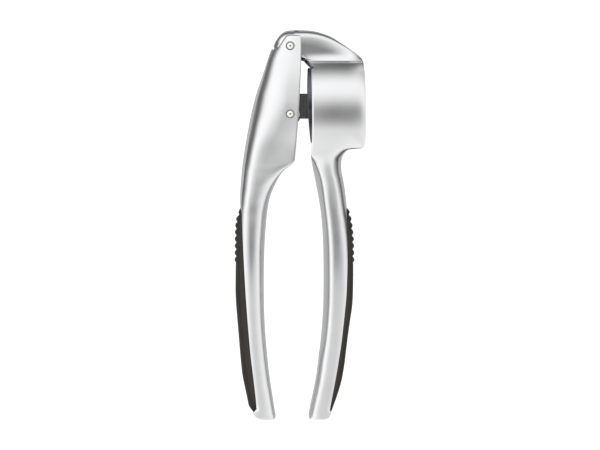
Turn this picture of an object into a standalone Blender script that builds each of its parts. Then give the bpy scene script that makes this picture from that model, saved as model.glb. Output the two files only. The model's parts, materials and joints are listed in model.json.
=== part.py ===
"""Garlic press: a hopper half and a lever half on one hinge, with a pivoting plunger.

The press lies on its side. +Y runs along it towards the hinge end, +X from the lever to the
hopper, and +Z across its width. Sizes are in millimetres, measured from the hinge's axis:
u along +X, v along +Y, and w along +Z from the middle of the width.
"""
import math

import bmesh
import bpy
from mathutils import Matrix

MM = 0.001

# Driving dimensions
HANDLE_END = 168.0
KNUCKLE_R = 7.2
OUTLET_U = 34.1
GRIP_CREST_U = 25.3
HOPPER_HALF = 16.0
PIVOT_DROP = 30.6
TOUCH_GAP = 0.3

# Hinge joint
HINGE = ((GRIP_CREST_U - OUTLET_U) / 2, (HANDLE_END - KNUCKLE_R) / 2, HOPPER_HALF)
PIVOT = (0.0, -PIVOT_DROP, 0.0)
ARM_HALF = 5.4
CHEEK_INNER = 6.1
WASHER_INNER = 5.5
WASHER_OUTER = 6.0
WASHER_R = 4.2

# Pins: a barrel with a domed head, and a screw that enters it from the far side
BARREL_R = 1.75
BARREL_HOLE_R = 1.8
RUNNING_HOLE_R = 1.82
SCREW_R = 1.0
SCREW_HOLE_R = 1.05
HEAD_R = 2.1
HEAD_RISE = 0.8
DIMPLE_R = 0.5
ROUND_SIDES = 24

# Hopper cup: an oval of two arcs joined by a short flat on each side
FLAT_TOP_V = -27.0
FLAT_BOTTOM_V = -33.0
SIDE_ARC_R = 26.0
CUP_TOP_V = -7.2
CUP_BOTTOM_V = -46.1
CUP_WALL = 2.4
CUP_FLOOR_U = 32.7
OUTLET_INSET = 4.6
MOUTH_U = 9.9

# Sieve basket
BASKET_WALL = 0.8
BASKET_OUTER_INSET = CUP_WALL + TOUCH_GAP
BASKET_INNER_INSET = BASKET_OUTER_INSET + BASKET_WALL
BASKET_END_U = CUP_FLOOR_U - TOUCH_GAP
BASKET_LIP_U = 7.65
HOLE_R = 0.95
HOLE_PITCH = 3.3
HOLE_MARGIN = 1.6
HOLE_SIDES = 6

# Plunger
HEAD_BACK_U = 23.5
HEAD_FRONT_U = 28.5
HEAD_INSET = 5.8
STEM_TOP_V = -21.4
STEM_BOTTOM_V = -32.5
STEM_BOSS_R = 4.8

# Grips and the cores that hold them
POCKET_HALF = 5.6
POCKET_DEPTH = 4.4
POCKET_TOP_V = -78.0
POCKET_BOTTOM_V = -158.0
RIB_PITCH = 3.15
RIB_COUNT = 8
RIB_DEPTH = 0.65
GRIP_TOP_V = -73.2
GRIP_END_V = -164.2

# Lever stations: (v, outer edge u, inner edge u, half width, outer rounding, inner rounding)
LEVER = (
    (4.6, -1.4, 4.3, 8.4, (0.5, 0.5), (0.5, 0.5)),
    (3.7, -2.0, 4.95, 9.0, (0.6, 0.6), (0.5, 0.5)),
    (-1.7, -6.0, 4.95, 9.2, (0.6, 0.6), (0.5, 0.5)),
    (-2.1, -8.7, 4.95, 9.2, (2.4, 3.0), (0.5, 0.5)),
    (-6.3, -10.4, 4.95, 9.5, (3.6, 4.0), (0.5, 0.5)),
    (-15.3, -13.3, 4.6, 10.0, (4.0, 4.5), (0.5, 0.5)),
    (-24.3, -16.0, 4.2, 10.5, (4.5, 5.0), (0.5, 0.5)),
    (-33.3, -18.1, 3.6, 10.9, (5.0, 5.5), (0.5, 0.5)),
    (-42.3, -19.8, 2.9, 11.2, (5.5, 6.0), (0.6, 0.6)),
    (-52.0, -21.4, 2.1, 11.2, (5.5, 6.0), (0.8, 0.8)),
    (-55.8, -21.8, -2.7, 11.0, (5.0, 5.5), (1.6, 2.0)),
    (-60.3, -22.1, -5.85, 10.6, (4.0, 5.0), (2.2, 3.0)),
    (-67.0, -22.6, -9.0, 10.0, (3.0, 4.0), (2.6, 3.4)),
    (-73.2, -22.4, -10.1, 9.5, (1.5, 2.0), (2.6, 3.4)),
    (-87.3, -21.5, -11.4, 8.9, (0.6, 0.6), (2.6, 3.4)),
    (-100.0, -21.0, -11.75, 8.7, (0.6, 0.6), (2.6, 3.4)),
    (-114.3, -20.1, -11.75, 8.6, (0.6, 0.6), (2.6, 3.4)),
    (-131.0, -18.8, -11.0, 8.5, (0.6, 0.6), (2.4, 3.2)),
    (-148.5, -16.9, -9.2, 8.3, (0.6, 0.6), (2.2, 3.0)),
    (-163.6, -15.4, -6.9, 7.8, (0.6, 0.6), (2.0, 2.6)),
    (-165.0, -16.6, -6.6, 7.6, (1.2, 2.0), (2.0, 2.4)),
    (-166.6, -16.0, -6.4, 7.2, (1.2, 2.0), (1.8, 2.0)),
    (-HANDLE_END, -13.6, -7.4, 5.8, (1.0, 1.5), (1.0, 1.5)),
)

# Hopper handle stations, in the same order
HOPPER_HANDLE = (
    (-38.0, 30.0, 10.6, 11.2, (4.0, 4.0), (2.0, 2.0)),
    (-45.8, 27.4, 9.75, 11.4, (4.0, 4.0), (1.0, 1.4)),
    (-49.0, 23.6, 9.2, 11.0, (3.5, 4.5), (1.2, 1.8)),
    (-52.0, 22.95, 9.5, 10.6, (3.2, 4.5), (1.8, 2.4)),
    (-55.8, 22.95, 10.4, 10.3, (3.0, 4.5), (2.4, 3.0)),
    (-60.3, 23.9, 11.25, 10.0, (3.0, 4.0), (2.6, 3.4)),
    (-66.0, 24.8, 12.35, 9.7, (2.6, 3.4), (2.6, 3.4)),
    (-73.2, 25.5, 13.55, 9.4, (1.5, 2.0), (2.6, 3.4)),
    (-87.3, 25.9, 14.7, 8.9, (0.6, 0.6), (2.6, 3.4)),
    (-100.0, 26.1, 14.85, 8.7, (0.6, 0.6), (2.6, 3.4)),
    (-114.3, 25.2, 14.8, 8.6, (0.6, 0.6), (2.6, 3.4)),
    (-131.0, 23.6, 13.7, 8.5, (0.6, 0.6), (2.4, 3.2)),
    (-148.5, 20.9, 11.5, 8.3, (0.6, 0.6), (2.2, 3.0)),
    (-163.6, 17.6, 8.5, 7.8, (0.6, 0.6), (2.0, 2.6)),
    (-165.0, 18.1, 8.2, 7.6, (1.2, 2.0), (2.0, 2.4)),
    (-166.6, 17.6, 8.0, 7.2, (1.2, 2.0), (1.8, 2.0)),
    (-HANDLE_END, 15.2, 9.2, 5.8, (1.0, 1.5), (1.0, 1.5)),
)

# Outer line of each grip below its ribs: (v, u)
LEVER_GRIP_LINE = ((-99.0, -24.75), (-110.0, -24.7), (-122.4, -23.85), (-133.2, -22.95),
                   (-144.0, -22.0), (-153.0, -20.5), (-160.0, -18.8), (GRIP_END_V, -16.4))
HOPPER_GRIP_LINE = ((-99.0, 28.35), (-110.0, 28.3), (-122.4, 27.1), (-133.2, 25.65),
                    (-144.0, 24.3), (-153.0, 22.4), (-160.0, 20.1), (GRIP_END_V, 18.3))
# Crest of the first rib and of the last, as u
LEVER_CRESTS = (-23.4, -GRIP_CREST_U)
HOPPER_CRESTS = (26.6, 28.8)
CRESTS_FULL_AT = 3

# Roof of the hopper's arm, from the knuckle to the outlet, then back under it to the knuckle
ARM_OUTLINE = ((8.5, 7.0), (13.0, 6.2), (18.0, 4.4), (22.5, 1.8), (27.5, -1.6), (31.6, -4.9),
               (32.9, -7.2), (33.2, -12.0), (30.0, -14.5), (12.2, -14.5), (9.4, -10.3), (7.2, -8.1))

# Space between the lever's cheeks, open towards the hopper and at the top
CHANNEL_OUTLINE = ((8.0, 8.0), (-14.0, 8.0), (-14.0, -1.0), (-7.5, -1.9), (-8.3, -10.8), (-11.0, -19.8),
                   (-13.2, -28.8), (-15.0, -37.8), (-16.2, -45.0), (-13.0, -49.5), (8.0, -49.5))

STEM_OUTLINE = ((-3.0, STEM_TOP_V), (25.0, STEM_TOP_V), (25.0, STEM_BOTTOM_V), (-3.0, STEM_BOTTOM_V))

SATIN_CHROME = ((0.72, 0.73, 0.74), 1.0, 0.32)
POLISHED_STEEL = ((0.78, 0.78, 0.77), 1.0, 0.15)
DARK_STEEL = ((0.20, 0.20, 0.22), 1.0, 0.3)
CHARCOAL = ((0.07, 0.072, 0.07), 0.6, 0.5)
BLACK_RUBBER = ((0.02, 0.018, 0.016), 0.0, 0.65)
BLACK_PLASTIC = ((0.03, 0.03, 0.03), 0.0, 0.5)
WHITE_NYLON = ((0.8, 0.79, 0.75), 0.0, 0.45)


def clear_scene():
    for item in list(bpy.data.objects):
        bpy.data.objects.remove(item, do_unlink=True)


def new_collection(name):
    collection = bpy.data.collections.new(name)
    bpy.context.scene.collection.children.link(collection)
    return collection


clear_scene()
PRESS = new_collection("garlic_press")
CUTTERS = new_collection("cutters")


def empty_at(name, place, parent=None):
    """An empty on a joint's axis, in millimetres from its parent."""
    empty = bpy.data.objects.new(name, None)
    empty.location = [value * MM for value in place]
    empty.parent = parent
    PRESS.objects.link(empty)
    return empty


HOPPER_AXIS = empty_at("hopper_frame", HINGE)
LEVER_AXIS = empty_at("lever_hinge_axis", (0.0, 0.0, 0.0), HOPPER_AXIS)
PLUNGER_AXIS = empty_at("plunger_pivot_axis", PIVOT, LEVER_AXIS)


def material(name, look):
    """A Principled material from a colour, a metallic value and a roughness."""
    colour, metallic, roughness = look
    made = bpy.data.materials.new(name)
    made.use_nodes = True
    shader = made.node_tree.nodes["Principled BSDF"]
    shader.inputs["Base Color"].default_value = (*colour, 1.0)
    shader.inputs["Metallic"].default_value = metallic
    shader.inputs["Roughness"].default_value = roughness
    return made


def finish_part(part, name, parent, look):
    """Name a piece, hang it on its axis, and give it its material and shading."""
    part.name = name
    part.data.name = name
    part.parent = parent
    if parent is PLUNGER_AXIS:
        part.data.transform(Matrix.Translation([-value * MM for value in PIVOT]))
    part.data.materials.clear()
    part.data.materials.append(material(name, look))
    part.data.shade_smooth()
    part.data.set_sharp_from_angle(angle=math.radians(35))
    return part


def as_helper(part, parent):
    """Hide a shape that only cuts or joins another."""
    for collection in list(part.users_collection):
        collection.objects.unlink(part)
    CUTTERS.objects.link(part)
    part.parent = parent
    if parent is PLUNGER_AXIS:
        part.data.transform(Matrix.Translation([-value * MM for value in PIVOT]))
    part.hide_render = True
    part.display_type = 'WIRE'
    return part


def boolean(part, helper, operation, parent):
    as_helper(helper, parent)
    modifier = part.modifiers.new(helper.name, 'BOOLEAN')
    modifier.operation = operation
    modifier.object = helper
    modifier.solver = 'EXACT'


def object_from(shape, name):
    """Turn a bmesh into an object with its faces pointing out."""
    bmesh.ops.recalc_face_normals(shape, faces=shape.faces)
    mesh = bpy.data.meshes.new(name)
    shape.to_mesh(mesh)
    shape.free()
    part = bpy.data.objects.new(name, mesh)
    PRESS.objects.link(part)
    return part


def fill_end(shape, loop):
    """Fill a ring that is symmetric about the middle of the width, with a strip of flat faces."""
    last = len(loop) - 1
    for i in range(len(loop) // 2):
        corners = [loop[i], loop[i + 1], loop[last - i - 1], loop[last - i]]
        unique = list(dict.fromkeys(corners))
        if len(unique) > 2:
            shape.faces.new(unique)


def loft(name, rings):
    """A solid skinned over rings of matching points, with both ends filled."""
    shape = bmesh.new()
    loops = []
    for ring in rings:
        loops.append([shape.verts.new([value * MM for value in point]) for point in ring])
    count = len(loops[0])
    for first, second in zip(loops, loops[1:]):
        for i in range(count):
            j = (i + 1) % count
            shape.faces.new((first[i], first[j], second[j], second[i]))
    fill_end(shape, loops[0])
    fill_end(shape, loops[-1])
    return object_from(shape, name)


def plate(name, outline, half_width):
    """A flat outline in the side plane, extruded to both sides of the middle."""
    curve = bpy.data.curves.new(name, 'CURVE')
    curve.dimensions = '2D'
    curve.fill_mode = 'BOTH'
    curve.extrude = half_width * MM
    spline = curve.splines.new('POLY')
    spline.points.add(len(outline) - 1)
    for point, (u, v) in zip(spline.points, outline):
        point.co = (u * MM, v * MM, 0.0, 1.0)
    spline.use_cyclic_u = True
    source = bpy.data.objects.new(name, curve)
    PRESS.objects.link(source)
    evaluated = source.evaluated_get(bpy.context.evaluated_depsgraph_get())
    mesh = bpy.data.meshes.new_from_object(evaluated)
    bpy.data.objects.remove(source, do_unlink=True)
    shape = bmesh.new()
    shape.from_mesh(mesh)
    bpy.data.meshes.remove(mesh)
    bmesh.ops.remove_doubles(shape, verts=shape.verts, dist=1e-6)
    return object_from(shape, name)


def rod(name, place, radius, low, high, sides=ROUND_SIDES):
    """A round bar across the width, from low to high in w."""
    shape = bmesh.new()
    turn = Matrix.Translation((place[0] * MM, place[1] * MM, (low + high) / 2 * MM))
    bmesh.ops.create_cone(shape, cap_ends=True, segments=sides, radius1=radius * MM, radius2=radius * MM,
                          depth=(high - low) * MM, matrix=turn)
    return object_from(shape, name)


def turned(name, profile, place):
    """A turned piece whose axis runs across the width; profile is (radius, w), top to bottom."""
    mesh = bpy.data.meshes.new(name)
    points = [(radius * MM, 0.0, w * MM) for radius, w in profile]
    mesh.from_pydata(points, [(i, i + 1) for i in range(len(points) - 1)], [])
    part = bpy.data.objects.new(name, mesh)
    PRESS.objects.link(part)
    screw = part.modifiers.new("turn", 'SCREW')
    screw.steps = ROUND_SIDES
    screw.render_steps = ROUND_SIDES
    screw.use_merge_vertices = True
    screw.merge_threshold = 1e-6
    evaluated = part.evaluated_get(bpy.context.evaluated_depsgraph_get())
    solid = bpy.data.meshes.new_from_object(evaluated)
    solid.transform(Matrix.Translation((place[0] * MM, place[1] * MM, 0.0)))
    bpy.data.objects.remove(part, do_unlink=True)
    shape = bmesh.new()
    shape.from_mesh(solid)
    bpy.data.meshes.remove(solid)
    bmesh.ops.remove_doubles(shape, verts=shape.verts, dist=1e-6)
    return object_from(shape, name)


def interpolate(table, v):
    """Value at v on a line of (v, value) points that run downwards."""
    for (v0, value0), (v1, value1) in zip(table, table[1:]):
        if v >= v1:
            share = (v0 - v) / (v0 - v1)
            return value0 + (value1 - value0) * share
    return table[-1][1]


def bar_ring(v, outer, inner, half, outer_round, inner_round, steps=3):
    """Ring across a bar whose four long edges are rounded, outer edges first."""
    side = math.copysign(1.0, outer - inner)
    upper = []
    for step in range(steps + 1):
        turn = math.pi / 2 * step / steps
        along = outer_round[0] * (1 - math.cos(turn))
        upper.append((outer - side * along, v, half - outer_round[1] * (1 - math.sin(turn))))
    for step in range(steps, -1, -1):
        turn = math.pi / 2 * step / steps
        along = inner_round[0] * (1 - math.cos(turn))
        upper.append((inner + side * along, v, half - inner_round[1] * (1 - math.sin(turn))))
    return upper + [(u, v, -w) for u, v, w in reversed(upper)]


def oval(inset, u_at):
    """Ring round the hopper's oval cross-section, inset all round; u_at gives u for a v."""
    radius = SIDE_ARC_R - inset
    side = []
    top_turn = math.asin((CUP_TOP_V - inset - FLAT_TOP_V) / radius)
    bottom_turn = math.asin((FLAT_BOTTOM_V - CUP_BOTTOM_V - inset) / radius)
    centre_w = HOPPER_HALF - SIDE_ARC_R
    for step in range(6):
        turn = top_turn * (1 - step / 5)
        side.append((FLAT_TOP_V + radius * math.sin(turn), centre_w + radius * math.cos(turn)))
    for step in range(5):
        turn = bottom_turn * step / 4
        side.append((FLAT_BOTTOM_V - radius * math.sin(turn), centre_w + radius * math.cos(turn)))
    full = side + [(v, -w) for v, w in reversed(side)]
    return [(u_at(v), v, w) for v, w in full]


def outlet_end(v):
    """The outlet's slightly domed end."""
    return OUTLET_U - 0.0025 * (v + 31.0) ** 2


def mouth_end(v):
    """The mouth's rim, a little hollow towards its ends."""
    return MOUTH_U - 0.0010 * (v + 33.0) ** 2


def lip_end(v):
    """The basket's lip, which stands proud of the mouth."""
    return BASKET_LIP_U + 0.0025 * (v + 18.0) ** 2


def level(u):
    return lambda v: u


def knuckle_arc():
    """The round end of the arm, from under the hinge, round the back and over the top."""
    turns = [math.radians(-55.0 - 215.0 * step / 30) for step in range(31)]
    return tuple((KNUCKLE_R * math.cos(turn), KNUCKLE_R * math.sin(turn)) for turn in turns)


def pocket(name, stations):
    """Cutter for the groove in a handle's outer face that holds the grip's core."""
    rings = []
    for v in (POCKET_TOP_V, -100.0, -120.0, -140.0, POCKET_BOTTOM_V):
        face = interpolate([(row[0], row[1]) for row in stations], v)
        side = math.copysign(1.0, face - interpolate([(row[0], row[2]) for row in stations], v))
        deep = face - side * POCKET_DEPTH
        proud = face + side * POCKET_DEPTH
        rings.append([(deep, v, POCKET_HALF), (proud, v, POCKET_HALF),
                      (proud, v, -POCKET_HALF), (deep, v, -POCKET_HALF)])
    return loft(name, rings)


def make_hopper_body():
    cup_rings = [oval(1.2, lambda v: mouth_end(v)), oval(0.0, lambda v: mouth_end(v) + 1.2),
                 oval(0.0, level(21.0)), oval(0.0, lambda v: outlet_end(v) - 1.6),
                 oval(1.4, outlet_end)]
    body = loft("cup", cup_rings)
    boolean(body, plate("arm", ARM_OUTLINE + knuckle_arc(), ARM_HALF), 'UNION', HOPPER_AXIS)
    handle = loft("handle", [bar_ring(*row) for row in HOPPER_HANDLE])
    boolean(body, handle, 'UNION', HOPPER_AXIS)
    chamber = loft("chamber", [oval(CUP_WALL, level(0.0)), oval(CUP_WALL, level(CUP_FLOOR_U))])
    boolean(body, chamber, 'DIFFERENCE', HOPPER_AXIS)
    outlet = loft("outlet", [oval(OUTLET_INSET, level(30.0)), oval(OUTLET_INSET, level(40.0))])
    boolean(body, outlet, 'DIFFERENCE', HOPPER_AXIS)
    hole = rod("hinge_hole", (0.0, 0.0), RUNNING_HOLE_R, -20.0, 20.0)
    boolean(body, hole, 'DIFFERENCE', HOPPER_AXIS)
    boolean(body, pocket("hopper_pocket", HOPPER_HANDLE), 'DIFFERENCE', HOPPER_AXIS)
    finish_part(body, "hopper_body", HOPPER_AXIS, SATIN_CHROME)


def sieve_holes():
    """Cutter with every hole of the sieve, on a staggered grid inside the basket's floor."""
    shape = bmesh.new()
    edge = oval(BASKET_INNER_INSET + HOLE_MARGIN + HOLE_R, level(0.0))
    side = [(v, w) for _, v, w in edge[:len(edge) // 2]]
    middle_v = (CUP_TOP_V + CUP_BOTTOM_V) / 2
    row_pitch = HOLE_PITCH * math.sqrt(3) / 2
    spin = Matrix.Rotation(math.pi / 2, 4, 'Y')
    for row in range(-6, 7):
        v = middle_v + row * row_pitch
        if v > side[0][0] or v < side[-1][0]:
            continue
        reach = interpolate(side, v)
        shift = HOLE_PITCH / 2 if row % 2 else 0.0
        for column in range(-6, 7):
            w = column * HOLE_PITCH + shift
            if abs(w) > reach:
                continue
            place = Matrix.Translation((BASKET_END_U * MM, v * MM, w * MM))
            bmesh.ops.create_cone(shape, cap_ends=True, segments=HOLE_SIDES, radius1=HOLE_R * MM,
                                  radius2=HOLE_R * MM, depth=4.0 * MM, matrix=place @ spin)
    return object_from(shape, "sieve_holes")


def make_sieve_basket():
    basket = loft("basket", [oval(BASKET_OUTER_INSET, lip_end), oval(BASKET_OUTER_INSET, level(BASKET_END_U))])
    inside = loft("basket_inside", [oval(BASKET_INNER_INSET, level(4.0)),
                                    oval(BASKET_INNER_INSET, level(BASKET_END_U - BASKET_WALL))])
    boolean(basket, inside, 'DIFFERENCE', HOPPER_AXIS)
    boolean(basket, sieve_holes(), 'DIFFERENCE', HOPPER_AXIS)
    finish_part(basket, "sieve_basket", HOPPER_AXIS, DARK_STEEL)


def make_lever():
    lever = loft("lever", [bar_ring(*row) for row in LEVER])
    boolean(lever, plate("channel", CHANNEL_OUTLINE, CHEEK_INNER), 'DIFFERENCE', LEVER_AXIS)
    for name, place in (("lever_hinge_hole", (0.0, 0.0)), ("lever_pivot_hole", PIVOT)):
        boolean(lever, rod(name, place, BARREL_HOLE_R, -20.0, 20.0), 'DIFFERENCE', LEVER_AXIS)
    boolean(lever, pocket("lever_pocket", LEVER), 'DIFFERENCE', LEVER_AXIS)
    finish_part(lever, "plunger_lever", LEVER_AXIS, SATIN_CHROME)


def make_plunger():
    head = loft("plunger_head", [oval(HEAD_INSET, level(HEAD_BACK_U)), oval(HEAD_INSET, level(HEAD_FRONT_U))])
    boolean(head, plate("stem", STEM_OUTLINE, ARM_HALF), 'UNION', PLUNGER_AXIS)
    boss = rod("stem_boss", PIVOT, STEM_BOSS_R, -ARM_HALF, ARM_HALF)
    boolean(head, boss, 'UNION', PLUNGER_AXIS)
    hole = rod("stem_hole", PIVOT, RUNNING_HOLE_R, -20.0, 20.0)
    boolean(head, hole, 'DIFFERENCE', PLUNGER_AXIS)
    finish_part(head, "plunger", PLUNGER_AXIS, CHARCOAL)


def make_pin(name, place, cheek):
    """A barrel headed on the near side, and the screw that closes it on the far side."""
    under = cheek + 0.02
    top = under + HEAD_RISE
    barrel_end = -cheek + 0.4
    barrel = turned("barrel", ((0.0, top - 0.25), (DIMPLE_R, top), (HEAD_R * 0.6, top),
                               (HEAD_R, under + 0.2), (HEAD_R, under), (BARREL_R, under),
                               (BARREL_R, barrel_end), (SCREW_HOLE_R, barrel_end),
                               (SCREW_HOLE_R, 2.0), (0.0, 2.0)), place)
    finish_part(barrel, name + "_barrel", LEVER_AXIS, POLISHED_STEEL)
    screw = turned("screw", ((0.0, 1.0), (SCREW_R, 1.0), (SCREW_R, -under), (HEAD_R, -under),
                             (HEAD_R, -under - 0.2), (HEAD_R * 0.6, -top), (0.0, -top)), place)
    slot = loft("slot", [[(place[0] + u, place[1] + v, w) for u, v in
                          ((-3.0, -0.3), (3.0, -0.3), (3.0, 0.3), (-3.0, 0.3))]
                         for w in (-top + 0.4, -top - 1.0)])
    boolean(screw, slot, 'DIFFERENCE', LEVER_AXIS)
    finish_part(screw, name + "_screw", LEVER_AXIS, POLISHED_STEEL)


def make_washers(name, place):
    for side, sign in (("front", 1.0), ("back", -1.0)):
        low, high = sorted((sign * WASHER_INNER, sign * WASHER_OUTER))
        washer = turned("washer", ((BARREL_HOLE_R, high), (WASHER_R, high), (WASHER_R, low),
                                   (BARREL_HOLE_R, low), (BARREL_HOLE_R, high)), place)
        finish_part(washer, f"{name}_washer_{side}", LEVER_AXIS, WHITE_NYLON)


def grip_stations(line, crests):
    """Outer line of a grip as (v, u): ribs at the top, then the smooth lower part."""
    side = math.copysign(1.0, line[0][1])
    stations = []
    for rib in range(RIB_COUNT):
        share = min(1.0, (rib + 0.15) / CRESTS_FULL_AT)
        crest = crests[0] + (crests[1] - crests[0]) * math.sin(share * math.pi / 2)
        v = GRIP_TOP_V - 0.55 * RIB_PITCH - rib * RIB_PITCH
        stations.append((v + RIB_PITCH / 2, crest - side * RIB_DEPTH))
        stations.append((v + RIB_PITCH / 6, crest))
        stations.append((v - RIB_PITCH / 6, crest))
    return stations + list(line)


def make_grip(name, stations, line, crests, parent):
    """The soft strip on a handle's outer face."""
    faces = [(row[0], row[1]) for row in stations]
    halves = [(row[0], row[3]) for row in stations]
    rings = []
    for v, outer in grip_stations(line, crests):
        side = math.copysign(1.0, outer)
        base = interpolate(faces, v) + side * TOUCH_GAP
        rise = max(0.6, abs(outer - base))
        half = interpolate(halves, v) - 0.1
        ring = [(base, v, half)]
        for step in range(7):
            turn = math.pi * step / 6
            bulge = math.sin(turn) ** 0.6
            ring.append((base + side * (0.35 * rise + 0.65 * rise * bulge), v, half * math.cos(turn)))
        ring.append((base, v, -half))
        rings.append(ring)
    finish_part(loft(name, rings), name, parent, BLACK_RUBBER)


def make_grip_core(name, stations, parent):
    """The hard bar under a grip, which fills the handle's groove."""
    faces = [(row[0], row[1]) for row in stations]
    half = POCKET_HALF - TOUCH_GAP
    rings = []
    for v in (POCKET_TOP_V - TOUCH_GAP, -100.0, -120.0, -140.0, POCKET_BOTTOM_V + TOUCH_GAP):
        face = interpolate(faces, v)
        side = math.copysign(1.0, face)
        deep = face - side * (POCKET_DEPTH - TOUCH_GAP)
        near = face - side * TOUCH_GAP
        rings.append([(deep, v, half), (near, v, half), (near, v, -half), (deep, v, -half)])
    finish_part(loft(name, rings), name, parent, BLACK_PLASTIC)


def cheek_face(v):
    return interpolate([(row[0], row[3]) for row in LEVER], v)


make_hopper_body()
make_sieve_basket()
make_lever()
make_plunger()
for pin_name, pin_place in (("hinge_pin", (0.0, 0.0)), ("plunger_pin", PIVOT[:2])):
    make_pin(pin_name, pin_place, cheek_face(pin_place[1] - HEAD_R))
    make_washers(pin_name, pin_place)
make_grip("lever_grip", LEVER, LEVER_GRIP_LINE, LEVER_CRESTS, LEVER_AXIS)
make_grip("hopper_grip", HOPPER_HANDLE, HOPPER_GRIP_LINE, HOPPER_CRESTS, HOPPER_AXIS)
make_grip_core("lever_grip_core", LEVER, LEVER_AXIS)
make_grip_core("hopper_grip_core", HOPPER_HANDLE, HOPPER_AXIS)
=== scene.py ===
"""Looks of the garlic press: satin castings, ribbed grips, pins, plunger and sieve.

Shapes are in millimetres measured from the hinge's axis: u along +X, v along +Y towards the
hinge end, and w along +Z from the middle of the press's width.
"""
import json
import math

import bmesh
import bpy
import numpy as np
from mathutils import Matrix, Vector


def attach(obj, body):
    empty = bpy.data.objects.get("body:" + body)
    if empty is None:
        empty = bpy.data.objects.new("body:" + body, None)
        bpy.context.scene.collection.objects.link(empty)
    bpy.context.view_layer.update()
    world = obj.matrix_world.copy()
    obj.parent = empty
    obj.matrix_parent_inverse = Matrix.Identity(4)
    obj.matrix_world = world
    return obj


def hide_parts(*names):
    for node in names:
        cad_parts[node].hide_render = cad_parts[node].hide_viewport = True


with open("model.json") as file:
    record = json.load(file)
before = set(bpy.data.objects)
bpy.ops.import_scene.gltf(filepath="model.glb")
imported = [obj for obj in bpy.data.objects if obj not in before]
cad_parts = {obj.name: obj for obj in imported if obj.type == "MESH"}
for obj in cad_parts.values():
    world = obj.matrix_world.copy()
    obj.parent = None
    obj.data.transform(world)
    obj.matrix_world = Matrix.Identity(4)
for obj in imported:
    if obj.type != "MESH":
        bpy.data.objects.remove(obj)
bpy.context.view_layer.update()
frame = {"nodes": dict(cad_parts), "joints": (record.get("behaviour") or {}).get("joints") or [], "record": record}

MM = 0.001
HINGE = Vector(frame["joints"][0]["pos_m"])
PIVOT_V = (frame["joints"][1]["pos_m"][1] - HINGE.y) / MM
TO_ROW = Matrix.Translation(HINGE) @ Matrix.Scale(MM, 4)
HANDLE_END = -168.0


# ---------------------------------------------------------------- outlines

def catmull(points, steps=12):
    """Dense points on a smooth curve through the given ones."""
    knots = np.array(points, float)
    if len(knots) < 3:
        return knots
    ends = np.vstack([2 * knots[0] - knots[1], knots, 2 * knots[-1] - knots[-2]])
    found = []
    for p0, p1, p2, p3 in zip(ends, ends[1:], ends[2:], ends[3:]):
        for t in np.arange(steps) / steps:
            found.append(0.5 * (2 * p1 + (p2 - p0) * t + (2 * p0 - 5 * p1 + 4 * p2 - p3) * t ** 2
                                + (3 * p1 - p0 - 3 * p2 + p3) * t ** 3))
    return np.array(found + [knots[-1]])


def outline(*runs):
    """One edge of a casting, top to bottom, as (u, v): smooth runs that meet at corners."""
    return np.vstack([catmull(run) for run in runs])


def with_end(left, right, end, tip_u):
    """Both edges of a casting, each carried on round its half of the handle's end to the tip."""
    tip = [(tip_u, HANDLE_END)]
    return (np.vstack([left, end[end[:, 0] < tip_u], tip]),
            np.vstack([right, end[::-1][end[::-1, 0] > tip_u], tip]))


def u_at(edge, v):
    """u of an edge at each v."""
    return np.interp(-np.asarray(v), -edge[:, 1], edge[:, 0])


def table_at(table, v):
    """Values of a (v, value) table at each v, smoothly."""
    dense = catmull(table, 10)
    return np.interp(-np.asarray(v), -dense[:, 0], dense[:, 1])


def distance_to(edge, u, v):
    """Distance from each point to a polyline."""
    a, b = edge[:-1], edge[1:]
    span = b - a
    length = np.maximum((span ** 2).sum(1), 1e-9)
    best = np.full(u.shape, 1e9)
    for (au, av), (du, dv), square in zip(a, span, length):
        t = np.clip(((u - au) * du + (v - av) * dv) / square, 0, 1)
        best = np.minimum(best, np.hypot(u - au - t * du, v - av - t * dv))
    return best


# ------------------------------------------------------------ mesh helpers

def object_from(shape, name):
    """An object of a finished bmesh, in the scene."""
    bmesh.ops.recalc_face_normals(shape, faces=shape.faces)
    mesh = bpy.data.meshes.new(name)
    shape.to_mesh(mesh)
    shape.free()
    piece = bpy.data.objects.new(name, mesh)
    bpy.context.scene.collection.objects.link(piece)
    return piece


def skin(name, rings):
    """A closed solid over rings of matching points, with its first and last rings filled."""
    shape = bmesh.new()
    loops = [[shape.verts.new(TO_ROW @ Vector(point)) for point in ring] for ring in rings]
    count = len(loops[0])
    for first, second in zip(loops, loops[1:]):
        for i in range(count):
            j = (i + 1) % count
            shape.faces.new((first[i], first[j], second[j], second[i]))
    for loop in (loops[0], loops[-1]):
        last = count - 1
        for i in range(count // 2):
            corners = [loop[i], loop[i + 1], loop[last - i - 1], loop[last - i]]
            unique = list(dict.fromkeys(corners))
            if len(unique) > 2:
                shape.faces.new(unique)
    bmesh.ops.dissolve_degenerate(shape, dist=1e-7, edges=shape.edges)
    return object_from(shape, name)


def cut(piece, cutter, operation='DIFFERENCE'):
    """Cut or join with an exact Boolean, and drop the cutter."""
    modifier = piece.modifiers.new("cut", 'BOOLEAN')
    modifier.operation = operation
    modifier.object = cutter
    modifier.solver = 'EXACT'
    bake(piece)
    bpy.data.objects.remove(cutter, do_unlink=True)


def bake(piece):
    """Apply every modifier."""
    evaluated = piece.evaluated_get(bpy.context.evaluated_depsgraph_get())
    mesh = bpy.data.meshes.new_from_object(evaluated)
    old = piece.data
    piece.modifiers.clear()
    piece.data = mesh
    bpy.data.meshes.remove(old)


def smooth(piece, angle=32):
    """Smooth shading, with edges sharper than the angle left crisp."""
    piece.data.shade_smooth()
    piece.data.set_sharp_from_angle(angle=math.radians(angle))


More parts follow.
